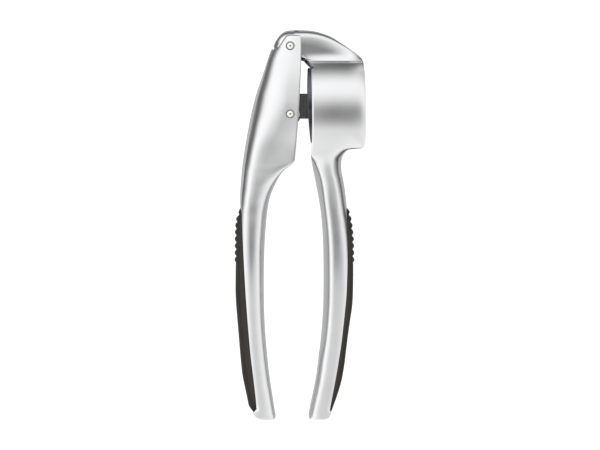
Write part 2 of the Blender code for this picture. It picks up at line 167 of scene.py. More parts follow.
def rod(name, u, v, radius, low, high, sides=48):
    """A round bar across the width, from w = low to w = high."""
    shape = bmesh.new()
    place = TO_ROW @ Matrix.Translation((u, v, (low + high) / 2))
    bmesh.ops.create_cone(shape, cap_ends=True, segments=sides, radius1=radius, radius2=radius,
                          depth=high - low, matrix=place)
    return object_from(shape, name)


def turned(name, profile, u, v, sides=48):
    """A turned piece with its axis across the width; profile is (radius, w), on the axis at both ends."""
    angles = 2 * math.pi * np.arange(sides) / sides
    rings = [[(u + radius * math.cos(a), v + radius * math.sin(a), w) for a in angles]
             for radius, w in profile]
    shape = bmesh.new()
    loops = []
    for (radius, w), ring in zip(profile, rings):
        if radius == 0:
            loops.append([shape.verts.new(TO_ROW @ Vector((u, v, w)))] * sides)
        else:
            loops.append([shape.verts.new(TO_ROW @ Vector(point)) for point in ring])
    for first, second in zip(loops, loops[1:]):
        for i in range(sides):
            j = (i + 1) % sides
            corners = list(dict.fromkeys((first[i], first[j], second[j], second[i])))
            if len(corners) > 2:
                shape.faces.new(corners)
    return object_from(shape, name)


def slab(name, rows, left, right, face, crown, columns=56, wall=10):
    """A casting symmetric about the middle of the width.

    left and right are its edges in the side view, face(u, v) is its half width, and crown(v) is how
    far its edge walls bulge."""
    t = np.linspace(0, 1, columns)
    share = 0.35 * t + 0.65 * (1 - np.cos(math.pi * t)) / 2  # columns close up towards both edges
    rings = []
    for v, shift in rows:
        bulge = crown(v)
        start = u_at(left, v + shift) + bulge[0]
        end = u_at(right, v + shift) - bulge[1]
        u = start + (end - start) * share
        w = face(u, v + shift)
        front = [(x, v, z) for x, z in zip(u, w)]
        back = [(x, v, -z) for x, z in zip(u, w)][::-1]
        turn = np.linspace(1, -1, wall + 2)[1:-1]
        right_wall = [(end + bulge[1] * (1 - k * k), v, w[-1] * k) for k in turn]
        left_wall = [(start - bulge[0] * (1 - k * k), v, w[0] * k) for k in -turn]
        half = wall // 2
        rings.append(left_wall[half:] + front + right_wall + back + left_wall[:half])
    return skin(name, rings)


# ------------------------------------------------------------ edge profiles

def eased_at(heights, values, at):
    """Rows of values at a height, smoothly between the given heights and without overshoot."""
    gap = np.diff(heights)
    rate = np.diff(values, axis=0) / gap[:, None]
    product = np.maximum(rate[1:] * rate[:-1], 0)
    slope = np.zeros_like(values)
    slope[1:-1] = 2 * product / np.where(product > 0, rate[1:] + rate[:-1], 1)
    i = int(np.clip(np.searchsorted(heights, at) - 1, 0, len(gap) - 1))
    t = float(np.clip((at - heights[i]) / gap[i], 0, 1))
    return (values[i] * (1 + 2 * t) * (1 - t) ** 2 + slope[i] * gap[i] * t * (1 - t) ** 2
            + values[i + 1] * t * t * (3 - 2 * t) - slope[i + 1] * gap[i] * t * t * (1 - t))


def profile_at(table, v):
    """Tilt of the surface inwards from an edge at v: (distance, degrees) rows."""
    heights = np.array([-row[0] for row in table])
    knots = np.array([np.ravel(row[1:]) for row in table], float)
    return eased_at(heights, knots, -v).reshape(-1, 2)


def fall(knots, distance):
    """Drop of the surface below the face at each distance from an edge."""
    d = np.linspace(0, knots[-1, 0], 160)
    slope = np.tan(np.radians(np.interp(d, knots[:, 0], knots[:, 1])))
    step = (slope[1:] + slope[:-1]) / 2 * np.diff(d)
    below = np.concatenate([np.cumsum(step[::-1])[::-1], [0.0]])
    return np.interp(distance, d, below)


def drop(edge, table, u, v):
    """How far a casting's surface lies below its fullest half width, across one row."""
    return fall(profile_at(table, v), distance_to(edge, u, np.full(u.shape, v)))


def widths_from_tilts(tilts, crown_v, crown):
    """(v, half width) rows of a surface with the given (v, tilt) rows; its crown is at crown_v."""
    v = np.arange(tilts[0][0], tilts[-1][0] - 0.1, -0.2)
    slope = np.tan(np.radians(np.interp(-v, [-row[0] for row in tilts], [row[1] for row in tilts])))
    width = np.concatenate([[0.0], np.cumsum((slope[1:] + slope[:-1]) / 2 * 0.2)])
    return np.stack([v, crown + width - np.interp(-crown_v, -v, width)], 1)


def stations(top, bottom, fine, steps, pitch=0.9):
    """Heights of a casting's sections, closer together at its ends, creases and steps."""
    ends = np.array([0.004, 0.02, 0.05, 0.1, 0.17, 0.26, 0.38, 0.54, 0.75])
    found = [*np.arange(top - pitch, bottom + pitch / 2, -pitch), *(top - ends), *(bottom + ends)]
    for centre, reach in fine:
        found.extend(np.linspace(centre + reach, centre - reach, 15))
    found = sorted({round(float(v), 4) for v in found if bottom < v < top}, reverse=True)
    rows = [(v, 0.0) for v in found if all(abs(v - step) > 0.02 for step in steps)]
    for step in steps:
        rows.extend([(step, 1e-4), (step, -1e-4)])
    return sorted(rows, key=lambda row: -row[0] - row[1])


# -------------------------------------------------------- hopper's casting

KNUCKLE_R = 7.2
CUP_TOP_V = -6.8
CUP_HIGH_V = -7.2
CUP_BOTTOM_V = -46.1
CUP_WALL = 2.4
CUP_FLOOR_U = 32.7
MOUTH_TOP_V = -10.2
FLARE = 0.9
OUTLET_INSET = 4.6
OUTLET_ENDS = (30.0, 40.0)
THROUGH = 20.0
FLAT_TOP_V = -27.0
FLAT_BOTTOM_V = -33.0
SIDE_ARC_R = 26.0
HOPPER_HALF = 16.0
THINNEST = 1.6

HOPPER_LEFT_SIDE = outline(
    [(4.0, KNUCKLE_R), (0.3, 7.15), (-1.2, 7.0), (-2.6, 6.6), (-3.9, 5.85), (-4.75, 5.0), (-5.5, 4.0),
     (-6.15, 3.0), (-6.75, 2.0), (-7.25, 1.0), (-7.6, 0.0), (-7.62, -0.5), (-7.35, -1.1), (-7.0, -1.8),
     (-6.5, -2.8), (-5.6, -4.0), (-4.6, -5.2), (-2.0, -5.9), (5.0, -6.4), (7.2, -8.1), (9.0, -9.9)],
    [(9.25, -10.4), (9.5, -15.0), (9.8, -24.0), (9.9, -33.0), (9.8, -40.0), (9.6, -45.0), (9.25, -49.0)],
    [(9.9, -53.6), (11.7, -62.6), (13.5, -72.9), (14.4, -81.9), (14.85, -91.8), (14.95, -103.0),
     (14.85, -114.3), (14.4, -123.3), (13.5, -133.2), (12.6, -140.4), (11.7, -147.6), (10.35, -154.8),
     (9.0, -161.1), (8.2, -165.6)])
HOPPER_RIGHT_SIDE = outline(
    [(4.0, KNUCKLE_R), (8.5, 7.1), (13.0, 6.3), (18.0, 4.5), (22.5, 1.8), (26.5, -0.9), (30.1, -3.6),
     (32.2, -5.5), (32.95, -7.4), (33.3, -10.5), (33.75, -17.0), (34.08, -25.0), (34.1, -31.0),
     (34.0, -38.0), (33.65, -43.3), (33.1, -45.2), (31.8, CUP_BOTTOM_V)],
    [(27.8, CUP_BOTTOM_V - 0.002), (26.4, -46.5), (25.1, -47.4), (23.8, -49.0), (23.1, -51.3),
     (22.95, -54.0), (23.2, -57.0), (23.9, -60.3), (24.75, -65.7), (25.4, -71.5), (25.7, -76.0),
     (25.95, -87.3), (26.05, -97.2), (25.85, -105.3), (25.4, -114.0), (23.6, -131.0), (22.4, -139.5),
     (20.9, -148.5), (19.1, -158.0), (18.1, -163.4)])
HOPPER_TIP_U = 12.5
HOPPER_END = outline([(8.2, -165.6), (8.35, -167.1), (9.2, -167.8), (HOPPER_TIP_U, HANDLE_END),
                      (15.6, -167.95), (17.1, -167.4), (18.1, -166.3), (18.35, -164.6), (18.1, -163.4)])
HOPPER_LEFT, HOPPER_RIGHT = with_end(HOPPER_LEFT_SIDE, HOPPER_RIGHT_SIDE, HOPPER_END, HOPPER_TIP_U)

HOPPER_TILTS = ((-6.7, 49.0), (-8.0, 46.5), (-10.0, 41.5), (-14.0, 31.5), (-18.0, 22.5), (-22.0, 14.5),
                (-26.0, 7.0), (-30.0, 0.0), (-34.0, -6.0), (-38.0, -12.5), (-42.0, -13.5), (-46.0, -14.0),
                (-50.0, -13.0), (-54.0, -11.0), (-58.0, -9.0), (-64.0, -7.0), (-72.0, -5.0),
                (-85.0, -3.0), (-100.0, -1.0), (-125.0, -0.5), (-150.0, -1.0), (HANDLE_END, -1.5))
HOPPER_WIDTHS = widths_from_tilts(HOPPER_TILTS, -30.0, HOPPER_HALF)
HOPPER_LEFT_PROFILE = (
    (8.0, (0, 60), (1.0, 50), (1.8, 43), (2.4, 28), (3.2, 12), (4.5, 5), (7.0, 0)),
    (5.5, (0, 60), (0.8, 50), (1.5, 43), (2.0, 28), (2.8, 14), (4.5, 5), (7.0, 0)),
    (3.5, (0, 60), (0.5, 50), (1.0, 42), (1.5, 28), (2.2, 20), (4.0, 6), (7.0, 0)),
    (1.0, (0, 60), (0.8, 50), (1.5, 43), (2.0, 34), (2.8, 20), (4.5, 6), (7.0, 0)),
    (-2.5, (0, 64), (0.7, 54), (1.3, 48), (1.8, 42), (1.95, 12), (3.0, 1), (12.0, 0)),
    (-9.6, (0, 64), (0.7, 54), (1.3, 48), (1.7, 42), (1.8, 5.5), (5.0, 4), (14.0, 0)),
    (-10.6, (0, 30), (0.3, 24), (0.5, 10), (0.7, 6), (0.9, 5.5), (5.0, 4), (14.0, 0)),
    (-49.0, (0, 34), (0.3, 24), (0.5, 10), (0.7, 6), (1.2, 5), (5.0, 3), (14.0, 0)),
    (-53.0, (0, 66), (1.1, 64), (1.5, 42), (2.0, 22), (3.6, 11), (6.0, 4), (14.0, 0)),
    (-57.0, (0, 66), (2.0, 64), (2.4, 42), (2.9, 20), (4.2, 10), (6.5, 3), (12.0, 0)),
    (-62.0, (0, 65), (2.3, 63), (2.7, 42), (3.3, 22), (4.4, 10), (6.5, 2), (10.0, 0)),
    (-72.0, (0, 64), (1.8, 61), (2.3, 40), (2.9, 23), (4.0, 9), (5.2, 1), (9.0, 0)),
    (-90.0, (0, 62), (2.0, 58), (2.7, 35), (3.4, 22), (4.4, 8), (5.6, 1), (10.0, 0)),
    (-112.0, (0, 62), (2.0, 58), (2.8, 35), (3.6, 21), (4.8, 7), (6.0, 2), (10.0, 1)),
    (-130.0, (0, 62), (2.0, 58), (2.7, 35), (3.4, 22), (4.8, 9), (6.0, 4), (10.0, 1)),
    (-145.0, (0, 58), (1.4, 50), (2.2, 36), (3.2, 22), (4.6, 10), (6.0, 5), (10.0, 2)),
    (-158.0, (0, 52), (1.4, 47), (2.2, 36), (3.1, 21), (4.4, 11), (6.0, 6), (10.0, 3)),
    (HANDLE_END, (0, 50), (1.2, 45), (2.0, 34), (2.8, 20), (4.2, 11), (6.0, 6), (10.0, 3)))
HOPPER_RIGHT_PROFILE = (
    (8.0, (0, 64), (0.5, 54), (1.2, 47), (1.7, 33), (2.3, 20), (3.2, 9), (5.0, 4), (8.0, 0)),
    (5.0, (0, 62), (0.4, 52), (0.9, 45), (1.4, 32), (2.0, 18), (3.0, 9), (5.0, 4), (8.0, 0)),
    (2.0, (0, 62), (0.3, 50), (0.6, 42), (1.1, 28), (1.8, 15), (3.0, 9), (5.0, 4), (8.0, 0)),
    (-1.0, (0, 58), (0.2, 46), (0.4, 36), (0.9, 24), (1.8, 13), (3.0, 9), (5.0, 4), (7.0, 0)),
    (-5.0, (0, 46), (0.2, 34), (0.4, 28), (1.0, 20), (2.0, 12), (3.0, 6), (4.5, 2), (6.0, 0)),
    (-7.5, (0, 16), (0.3, 13), (0.6, 10), (1.2, 8), (2.0, 6), (3.0, 4), (4.5, 2), (6.0, 0)),
    (-12.0, (0, 18), (0.5, 15), (1.7, 12), (2.9, 8), (4.1, 5), (5.0, 2), (6.0, 1), (8.0, 0)),
    (-20.0, (0, 22), (0.5, 17), (1.7, 11), (2.9, 7), (4.1, 4), (5.0, 2), (6.0, 1), (8.0, 0)),
    (-30.0, (0, 20), (0.5, 14), (1.7, 9), (2.9, 5), (4.1, 3), (5.0, 2), (6.0, 1), (8.0, 0)),
    (-45.8, (0, 16), (0.3, 10), (1.0, 8), (2.0, 5), (3.0, 3), (4.0, 2), (6.0, 1), (8.0, 0)),
    (-46.6, (0, 45), (0.4, 32), (0.8, 20), (1.4, 12), (2.0, 6), (3.0, 4), (6.0, 1), (8.0, 0)),
    (-49.0, (0, 55), (0.5, 46), (1.0, 36), (1.8, 28), (2.5, 20), (3.2, 12), (4.5, 4), (8.0, 0)),
    (-52.0, (0, 72), (0.8, 68), (1.4, 58), (1.8, 43), (2.6, 38), (3.4, 30), (4.6, 12), (8.0, 0)),
    (-55.0, (0, 72), (0.8, 68), (1.4, 60), (1.9, 43), (2.7, 38), (3.6, 32), (4.8, 10), (8.0, 0)),
    (-60.0, (0, 72), (0.8, 68), (1.3, 60), (1.7, 43), (2.4, 38), (3.2, 32), (4.5, 9), (8.0, 0)),
    (-66.0, (0, 72), (0.7, 68), (1.2, 60), (1.6, 43), (2.3, 37), (3.0, 30), (4.3, 8), (8.0, 0)),
    (-72.0, (0, 70), (0.6, 66), (1.1, 55), (1.6, 42), (2.4, 34), (3.2, 20), (4.4, 7), (8.0, 0)),
    (-76.0, (0, 60), (0.8, 50), (1.5, 42), (2.2, 30), (3.0, 18), (4.2, 9), (5.5, 3), (8.0, 0)),
    (-80.0, (0, 55), (0.6, 46), (1.3, 36), (2.2, 22), (3.2, 12), (4.2, 6), (5.5, 2), (8.0, 0)),
    (-90.0, (0, 42), (0.5, 36), (1.0, 26), (1.8, 16), (3.0, 9), (4.2, 4), (5.5, 1), (8.0, 0)),
    (-100.0, (0, 36), (0.5, 28), (1.0, 20), (1.8, 13), (3.0, 7), (4.2, 4), (5.5, 2), (8.0, 0)),
    (-115.0, (0, 26), (0.4, 20), (0.9, 16), (1.8, 11), (3.0, 7), (4.2, 4), (5.5, 3), (8.0, 0)),
    (HANDLE_END, (0, 24), (0.4, 18), (0.9, 14), (1.8, 9), (3.0, 6), (4.2, 4), (5.5, 3), (8.0, 0)))
END_PROFILE = ((0.0, (0, 40), (0.25, 26), (0.5, 12), (1.0, 4), (2.0, 0)),
               (HANDLE_END, (0, 40), (0.25, 26), (0.5, 12), (1.0, 4), (2.0, 0)))
ARM_HALF = 5.4
ROOF_START_U = [1.0, 4.0]
CORNER_LIFT = ((0.5, 0.0), (-0.5, 0.08), (-1.0, 0.2), (-2.0, 0.52), (-3.0, 0.8), (-4.0, 0.97),
               (-5.0, 1.08), (-6.8, 1.2), (-8.0, 0.98), (-10.0, 0.6), (-12.0, 0.32), (-14.0, 0.14),
               (-17.0, 0.03), (-20.0, 0.0))
CORNER_U = [25.5, 27.0, 31.0, 32.5]
CORNER_SHARE = [0.0, 0.12, 0.88, 1.0]
FLARE_TILTS = ((8.0, 0.0), (-2.2, 0.0), (-3.0, 2.5), (-3.6, 6.0), (-4.2, 11.0), (-4.8, 15.0),
               (-5.4, 20.0), (-6.2, 22.5), (-7.0, 22.5))
ARM_WIDTHS = widths_from_tilts(FLARE_TILTS, 8.0, ARM_HALF)


def hopper_face(u, v):
    """Half width of the hopper; the crease over the cup is shallower at the outlet's corner."""
    left = drop(HOPPER_LEFT_SIDE, HOPPER_LEFT_PROFILE, u, v)
    if v > 0:
        # Along the roof only the right side's fall counts.
        left = left * np.interp(u, ROOF_START_U, [1.0, 0.0])
    widths = ARM_WIDTHS if v > CUP_TOP_V else HOPPER_WIDTHS
    half = np.interp(-v, -widths[:, 0], widths[:, 1]) - left
    half += table_at(CORNER_LIFT, v) * np.interp(u, CORNER_U, CORNER_SHARE)
    half -= drop(HOPPER_RIGHT_SIDE, HOPPER_RIGHT_PROFILE, u, v)
    return np.maximum(half - drop(HOPPER_END, END_PROFILE, u, v), THINNEST)


def hopper_crown(v):
    """Bulge of the hopper's left and right edge walls."""
    left = np.interp(-v, [-8.0, 9.0, 11.0, 48.0, 58.0, 168.0], [0.3, 0.2, 0.0, 0.0, 0.8, 0.8])
    right = np.interp(-v, [-8.0, 5.0, 9.0, 44.0, 50.0, 70.0, 78.0, 168.0],
                      [0.7, 0.4, 0.0, 0.0, 0.9, 0.9, 0.3, 0.3])
    return left, right


def oval(inset, u_of, steps=14):
    """Ring round the chamber's oval, inset all round from the cup's outside; u_of gives u for a v."""
    radius = SIDE_ARC_R - inset
    top = math.asin((CUP_HIGH_V - inset - FLAT_TOP_V) / radius)
    bottom = math.asin((FLAT_BOTTOM_V - CUP_BOTTOM_V - inset) / radius)
    side = [(FLAT_TOP_V + radius * math.sin(turn), radius * math.cos(turn))
            for turn in np.linspace(top, 0, steps)]
    side += [(FLAT_BOTTOM_V - radius * math.sin(turn), radius * math.cos(turn))
             for turn in np.linspace(0, bottom, steps)]
    side = [(v, HOPPER_HALF - SIDE_ARC_R + w) for v, w in side]
    full = side + [(v, -w) for v, w in reversed(side)]
    return [(u_of(v), v, w) for v, w in full]


def level(u):
    """The same u at every v."""
    return lambda v: u


def mouth_u(v):
    """u of the chamber's mouth."""
    return float(u_at(HOPPER_LEFT, v))


def pocket(edge, side, top, bottom, half, depth):
    """Cutter for the groove behind a grip."""
    rings = []
    for v in np.linspace(top, bottom, 12):
        u = float(u_at(edge, v))
        rings.append([(u - side * depth, v, half), (u + side * depth, v, half),
                      (u + side * depth, v, -half), (u - side * depth, v, -half)])
    return skin("pocket", rings)


GROOVE = dict(top=-78.0, bottom=-158.0, half=5.6, depth=4.4)
RUNNING_HOLE_R = 1.82
BARREL_HOLE_R = 1.8


def make_hopper_body():
    """Casting with the chamber, its flared mouth, the outlet, the hinge's hole and the grip's groove."""
    fine = [(CUP_TOP_V, 1.4), (MOUTH_TOP_V, 0.8), (CUP_BOTTOM_V, 1.6), (HANDLE_END + 4.0, 0.9)]
    rows = stations(KNUCKLE_R, HANDLE_END, fine, [CUP_BOTTOM_V - 0.001])
    body = slab("hopper_casting", rows, HOPPER_LEFT, HOPPER_RIGHT, hopper_face, hopper_crown)
    cut(body, skin("chamber", [oval(CUP_WALL, level(2.0)), oval(CUP_WALL, level(CUP_FLOOR_U))]))
    cut(body, skin("flare", [oval(CUP_WALL - FLARE, lambda v: mouth_u(v) - FLARE / 2),
                             oval(CUP_WALL + 0.05, lambda v: mouth_u(v) + FLARE / 2)]))
    cut(body, skin("outlet", [oval(OUTLET_INSET, level(u)) for u in OUTLET_ENDS]))
    cut(body, rod("hinge_hole", 0.0, 0.0, RUNNING_HOLE_R, -THROUGH, THROUGH))
    cut(body, pocket(HOPPER_RIGHT, 1, **GROOVE))
    smooth(body)
    return body


# --------------------------------------------------------- lever's casting

LEVER_TOP_V = 4.8
SHOULDER_V = -1.05
LEVER_LEFT_SIDE = outline(
    [(1.5, LEVER_TOP_V), (-1.0, 4.78), (-2.1, 4.35)],
    [(-5.75, -1.0), (-5.85, SHOULDER_V + 0.2)],
    [(-8.12, SHOULDER_V - 0.01), (-8.7, -2.0), (-9.5, -4.0), (-10.25, -6.1), (-11.5, -10.0),
     (-12.8, -14.0), (-14.8, -19.8), (-16.1, -24.3), (-17.2, -28.8), (-18.15, -33.3), (-19.85, -42.3),
     (-21.35, -52.2), (-22.05, -59.0), (-22.5, -65.0), (-22.6, -70.0), (-22.4, -73.5), (-22.1, -78.0),
     (-21.6, -87.3), (-21.15, -96.3), (-20.1, -114.3), (-18.8, -131.0), (-17.9, -140.4), (-16.9, -148.5),
     (-15.8, -158.0), (-15.4, -163.0)])
LEVER_RIGHT_SIDE = outline(
    [(1.5, LEVER_TOP_V), (4.2, 4.7), (4.85, 4.25), (4.95, 3.3)],
    [(4.95, -6.3), (4.3, -22.0), (3.6, -33.3), (2.9, -42.3), (2.3, -49.0), (2.1, -51.2), (1.5, -52.6)],
    [(0.0, -53.8), (-2.7, -55.8), (-4.5, -58.0), (-5.85, -60.3), (-7.4, -63.5), (-9.0, -67.6),
     (-10.1, -72.9), (-10.8, -79.2), (-11.45, -88.0), (-11.75, -97.2), (-11.85, -105.0), (-11.8, -112.0),
     (-11.6, -121.5), (-11.0, -131.4), (-10.1, -141.3), (-9.2, -149.0), (-8.1, -156.2), (-7.1, -162.5),
     (-6.5, -165.8)])
LEVER_TIP_U = -11.0
LEVER_END = outline([(-15.4, -163.0), (-16.4, -164.3), (-16.65, -165.2), (-16.2, -166.3), (-14.9, -167.4),
                     (-12.9, -167.95), (LEVER_TIP_U, HANDLE_END), (-7.8, -167.9), (-6.7, -167.2),
                     (-6.5, -165.8)])
LEVER_LEFT, LEVER_RIGHT = with_end(LEVER_LEFT_SIDE, LEVER_RIGHT_SIDE, LEVER_END, LEVER_TIP_U)
# The side line carried on upwards, without its shoulder, for the cheek's fall towards it.
LEVER_FLANK = np.vstack([catmull([(-2.7, 9.0), (-5.0, 5.0), (-6.15, 3.0), (-7.25, 1.0), (-7.8, -0.3)]),
                         LEVER_LEFT_SIDE[LEVER_LEFT_SIDE[:, 1] < SHOULDER_V - 0.005]])
LEVER_HEAD = np.vstack([[(4.2, 4.7)], LEVER_LEFT_SIDE[LEVER_LEFT_SIDE[:, 1] > SHOULDER_V - 0.015]])
HEAD_PROFILE = ((5.0, (0, 45), (0.25, 34), (0.45, 12), (0.6, 0)),
                (HANDLE_END, (0, 45), (0.25, 34), (0.45, 12), (0.6, 0)))
LEVER_WIDTHS = ((LEVER_TOP_V, 15.0), (0.0, 14.7), (-6.0, 14.4), (-12.0, 14.0), (-20.0, 13.25),
                (-28.0, 12.95), (-36.0, 13.05), (-44.0, 13.35), (-50.0, 13.3), (-54.0, 12.8),
                (-58.0, 12.0), (-64.0, 10.75), (-70.0, 9.75), (-76.0, 9.0), (-82.0, 8.5), (-90.0, 8.2),
                (-105.0, 8.0), (-131.0, 7.9), (-150.0, 7.7), (HANDLE_END, 7.3))
LEVER_LEFT_PROFILE = (
    (5.0, (0, 60), (1.1, 51), (2.1, 43), (3.0, 35), (4.2, 24),
     (6.0, 18), (8.5, 15.5), (11.5, 15), (24.0, 15)),
    (-6.0, (0, 60), (1.1, 51), (2.1, 43), (3.0, 35), (4.2, 26),
     (6.0, 20), (8.5, 17.5), (11.5, 15), (24.0, 15)),
    (-12.0, (0, 60), (1.2, 51), (2.4, 43), (3.3, 35), (4.7, 26),
     (6.4, 21), (8.5, 18), (12.0, 14), (24.0, 14)),
    (-20.0, (0, 60), (1.5, 50), (3.0, 42), (3.9, 34), (5.0, 27),
     (7.0, 22), (9.0, 17.5), (13.0, 11), (24.0, 11.5)),
    (-28.0, (0, 62), (1.5, 53), (2.7, 46), (3.8, 38), (5.0, 29),
     (7.5, 21), (10.5, 14.5), (15.0, 7.5), (24.0, 9.5)),
    (-36.0, (0, 62), (1.5, 53), (2.6, 46), (3.7, 36), (5.0, 25),
     (7.0, 18), (9.5, 11.5), (14.0, 7), (24.0, 10)),
    (-44.0, (0, 62), (1.3, 52), (2.5, 46), (3.6, 36), (4.7, 24),
     (6.0, 15), (8.0, 9.5), (11.0, 7), (24.0, 10)),
    (-50.0, (0, 62), (1.1, 52), (2.2, 46), (3.4, 36), (4.4, 24),
     (5.6, 14), (7.5, 9), (10.0, 7.3), (24.0, 10.5)),
    (-58.0, (0, 60), (0.8, 52), (1.7, 45), (2.8, 37), (4.0, 22),
     (5.4, 12), (7.0, 8), (10.0, 7), (17.0, 8)),
    (-64.0, (0, 60), (0.8, 52), (1.7, 45), (2.6, 37), (3.8, 22),
     (5.2, 10), (7.0, 6), (9.0, 5), (13.0, 3)),
    (-70.0, (0, 58), (0.6, 50), (1.2, 44), (2.0, 37), (3.0, 23),
     (4.2, 10), (6.0, 5), (7.5, 3), (10.0, 0)),
    (-76.0, (0, 50), (0.4, 44), (0.9, 37), (1.6, 27), (2.6, 15), (3.8, 6), (5.0, 2), (6.5, 1), (8.0, 0)),
    (-90.0, (0, 42), (0.3, 34), (0.8, 24), (1.4, 16), (2.4, 10), (3.4, 5), (4.6, 1), (6.5, 0), (8.0, 0)),
    (-105.0, (0, 30), (0.3, 24), (0.8, 18), (1.6, 13), (2.6, 8), (3.8, 3), (5.0, 1), (6.5, 0), (8.0, 0)),
    (HANDLE_END, (0, 26), (0.3, 20), (0.8, 15), (1.6, 11), (2.6, 7),
     (3.8, 3), (5.0, 1), (6.5, 0), (8.0, 0)))
LEVER_RIGHT_PROFILE = (
    (5.0, (0, 30), (0.2, 12), (0.4, 0), (0.6, 0), (1.0, 0), (2.0, 0), (4.0, 0), (6.0, 0)),
    (-44.0, (0, 28), (0.2, 14), (0.4, 4), (0.6, 2), (1.0, 0), (2.0, 0), (4.0, 0), (6.0, 0)),
    (-50.0, (0, 28), (0.2, 16), (0.4, 8), (0.6, 5), (1.0, 3), (2.0, 2), (4.0, 1), (6.0, 0)),
    (-54.0, (0, 38), (0.3, 25), (0.6, 14), (1.0, 8), (2.0, 4), (4.0, 1), (6.0, 0), (9.0, 0)),
    (-58.0, (0, 54), (0.4, 40), (0.8, 25), (1.4, 14), (2.4, 8), (4.0, 3), (6.0, 1), (9.0, 0)),
    (-64.0, (0, 62), (0.6, 52), (1.2, 34), (1.8, 22), (3.0, 14), (4.5, 8), (6.5, 3), (9.0, 0)),
    (-70.0, (0, 62), (0.8, 56), (1.5, 38), (2.2, 24), (3.2, 14), (4.5, 9), (6.0, 4), (9.0, 0)),
    (-76.0, (0, 62), (1.2, 56), (1.8, 40), (2.6, 24), (3.6, 13), (4.8, 6), (6.0, 2), (8.0, 0)),
    (-90.0, (0, 62), (1.2, 56), (1.8, 40), (2.6, 24), (3.6, 13), (4.8, 6), (6.0, 2), (8.0, 0)),
    (-105.0, (0, 62), (0.9, 56), (1.5, 40), (2.4, 24), (3.4, 14), (4.8, 8), (6.2, 3), (8.0, 0)),
    (-135.0, (0, 60), (0.8, 54), (1.4, 38), (2.2, 24), (3.4, 15), (4.8, 9), (6.2, 4), (8.0, 0)),
    (-150.0, (0, 56), (0.6, 50), (1.2, 38), (2.0, 26), (3.4, 15), (4.8, 9), (6.2, 5), (8.0, 1)),
    (HANDLE_END, (0, 52), (0.6, 46), (1.1, 36), (1.9, 24), (3.2, 14), (4.8, 9), (6.2, 5), (8.0, 2)))
CHEEK_INNER = 6.1
CHANNEL = ((8.0, 8.0), (-14.0, 8.0), (-14.0, -1.3), (-7.75, -1.3), (-7.45, -2.2), (-7.5, -3.6),
           (-8.4, -8.0), (-9.0, -10.8), (-11.0, -19.8), (-13.2, -28.8), (-15.0, -37.8), (-16.2, -45.0),
           (-13.0, -49.5), (8.0, -49.5))


def lever_face(u, v):
    """Half width of the lever, which leans towards its left side."""
    half = table_at(LEVER_WIDTHS, v) - drop(LEVER_FLANK, LEVER_LEFT_PROFILE, u, v)
    half -= drop(LEVER_HEAD, HEAD_PROFILE, u, v)
    half -= drop(LEVER_RIGHT_SIDE, LEVER_RIGHT_PROFILE, u, v)
    return np.maximum(half - drop(LEVER_END, END_PROFILE, u, v), THINNEST)


def lever_crown(v):
    """Bulge of the lever's left and right edge walls."""
    left = np.interp(-v, [-5.0, 2.0, 8.0, 20.0, 60.0, 73.0, 78.0, 168.0],
                     [0.1, 0.1, 0.5, 1.2, 1.2, 0.6, 0.3, 0.3])
    right = np.interp(-v, [-5.0, 52.0, 62.0, 168.0], [0.05, 0.05, 0.8, 0.8])
    return left, right


def plate(name, points, half):
    """A flat outline extruded to both sides of the middle."""
    shape = bmesh.new()
    lower = [shape.verts.new(TO_ROW @ Vector((u, v, -half))) for u, v in points]
    face = shape.faces.new(lower)
    raised = bmesh.ops.extrude_face_region(shape, geom=[face])
    verts = [item for item in raised["geom"] if isinstance(item, bmesh.types.BMVert)]
    bmesh.ops.translate(shape, verts=verts, vec=(0, 0, 2 * half * MM))
    return object_from(shape, name)


HEAD_R = 1.78
HEAD_RISE = 0.35
RECESS_R = 2.02
RECESS_DEPTH = 1.1
SCREW_HOLE_R = 1.05


def cheek_at(v):
    """Half width of the lever on the hinge line at v."""
    return float(lever_face(np.array([0.0]), v)[0])


def make_lever():
    """Casting with the channel between its cheeks, the pins' holes and recesses, and the groove."""
    fine = [(SHOULDER_V, 1.0), (-52.5, 1.6), (-163.8, 0.9)]
    rows = stations(LEVER_TOP_V, HANDLE_END, fine, [SHOULDER_V - 0.005])
    lever = slab("lever_casting", rows, LEVER_LEFT, LEVER_RIGHT, lever_face, lever_crown)
    cut(lever, plate("channel", CHANNEL, CHEEK_INNER))
    for v in (0.0, PIVOT_V):
        floor = cheek_at(v) - RECESS_DEPTH
        cut(lever, rod("pin_hole", 0.0, v, BARREL_HOLE_R, -THROUGH, THROUGH))
        for low, high in ((floor, THROUGH), (-THROUGH, -floor)):
            cut(lever, rod("recess", 0.0, v, RECESS_R, low, high, 64))
    cut(lever, pocket(LEVER_LEFT, -1, **GROOVE))
    smooth(lever)
    return lever


# -------------------------------------------------------------------- pins

BARREL_R = 1.75
SCREW_R = 1.0
HEAD_DOME = ((0.45, 0.0), (0.7, -0.07), (0.95, -0.16), (1.2, -0.28), (1.4, -0.4), (1.56, -0.52),
             (1.7, -0.72), (HEAD_R, -1.0))
DIMPLE_R = 0.42
DIMPLE_DEPTH = 0.8
HEAD_UNDER = 1.3
SLOT_HALF = 0.3
SLOT_DEPTH = 0.55


def make_barrel(name, v):
    """The headed sleeve of a pin: a dimpled dome in front, bored from behind for its screw."""
    top = cheek_at(v) + HEAD_RISE
    end = -cheek_at(v) + RECESS_DEPTH + 0.05
    dimple = [(0.0, top - DIMPLE_DEPTH), (DIMPLE_R - 0.06, top - DIMPLE_DEPTH), (DIMPLE_R, top - 0.05)]
    dome = [(radius, top + below) for radius, below in HEAD_DOME]
    sleeve = [(HEAD_R, top - HEAD_UNDER), (BARREL_R, top - HEAD_UNDER), (BARREL_R, end)]
    profile = [*dimple, *dome, *sleeve, (SCREW_HOLE_R, end), (SCREW_HOLE_R, 2.0), (0.0, 2.0)]
    piece = turned(name, profile, 0.0, v)
    smooth(piece, 35)
    return piece


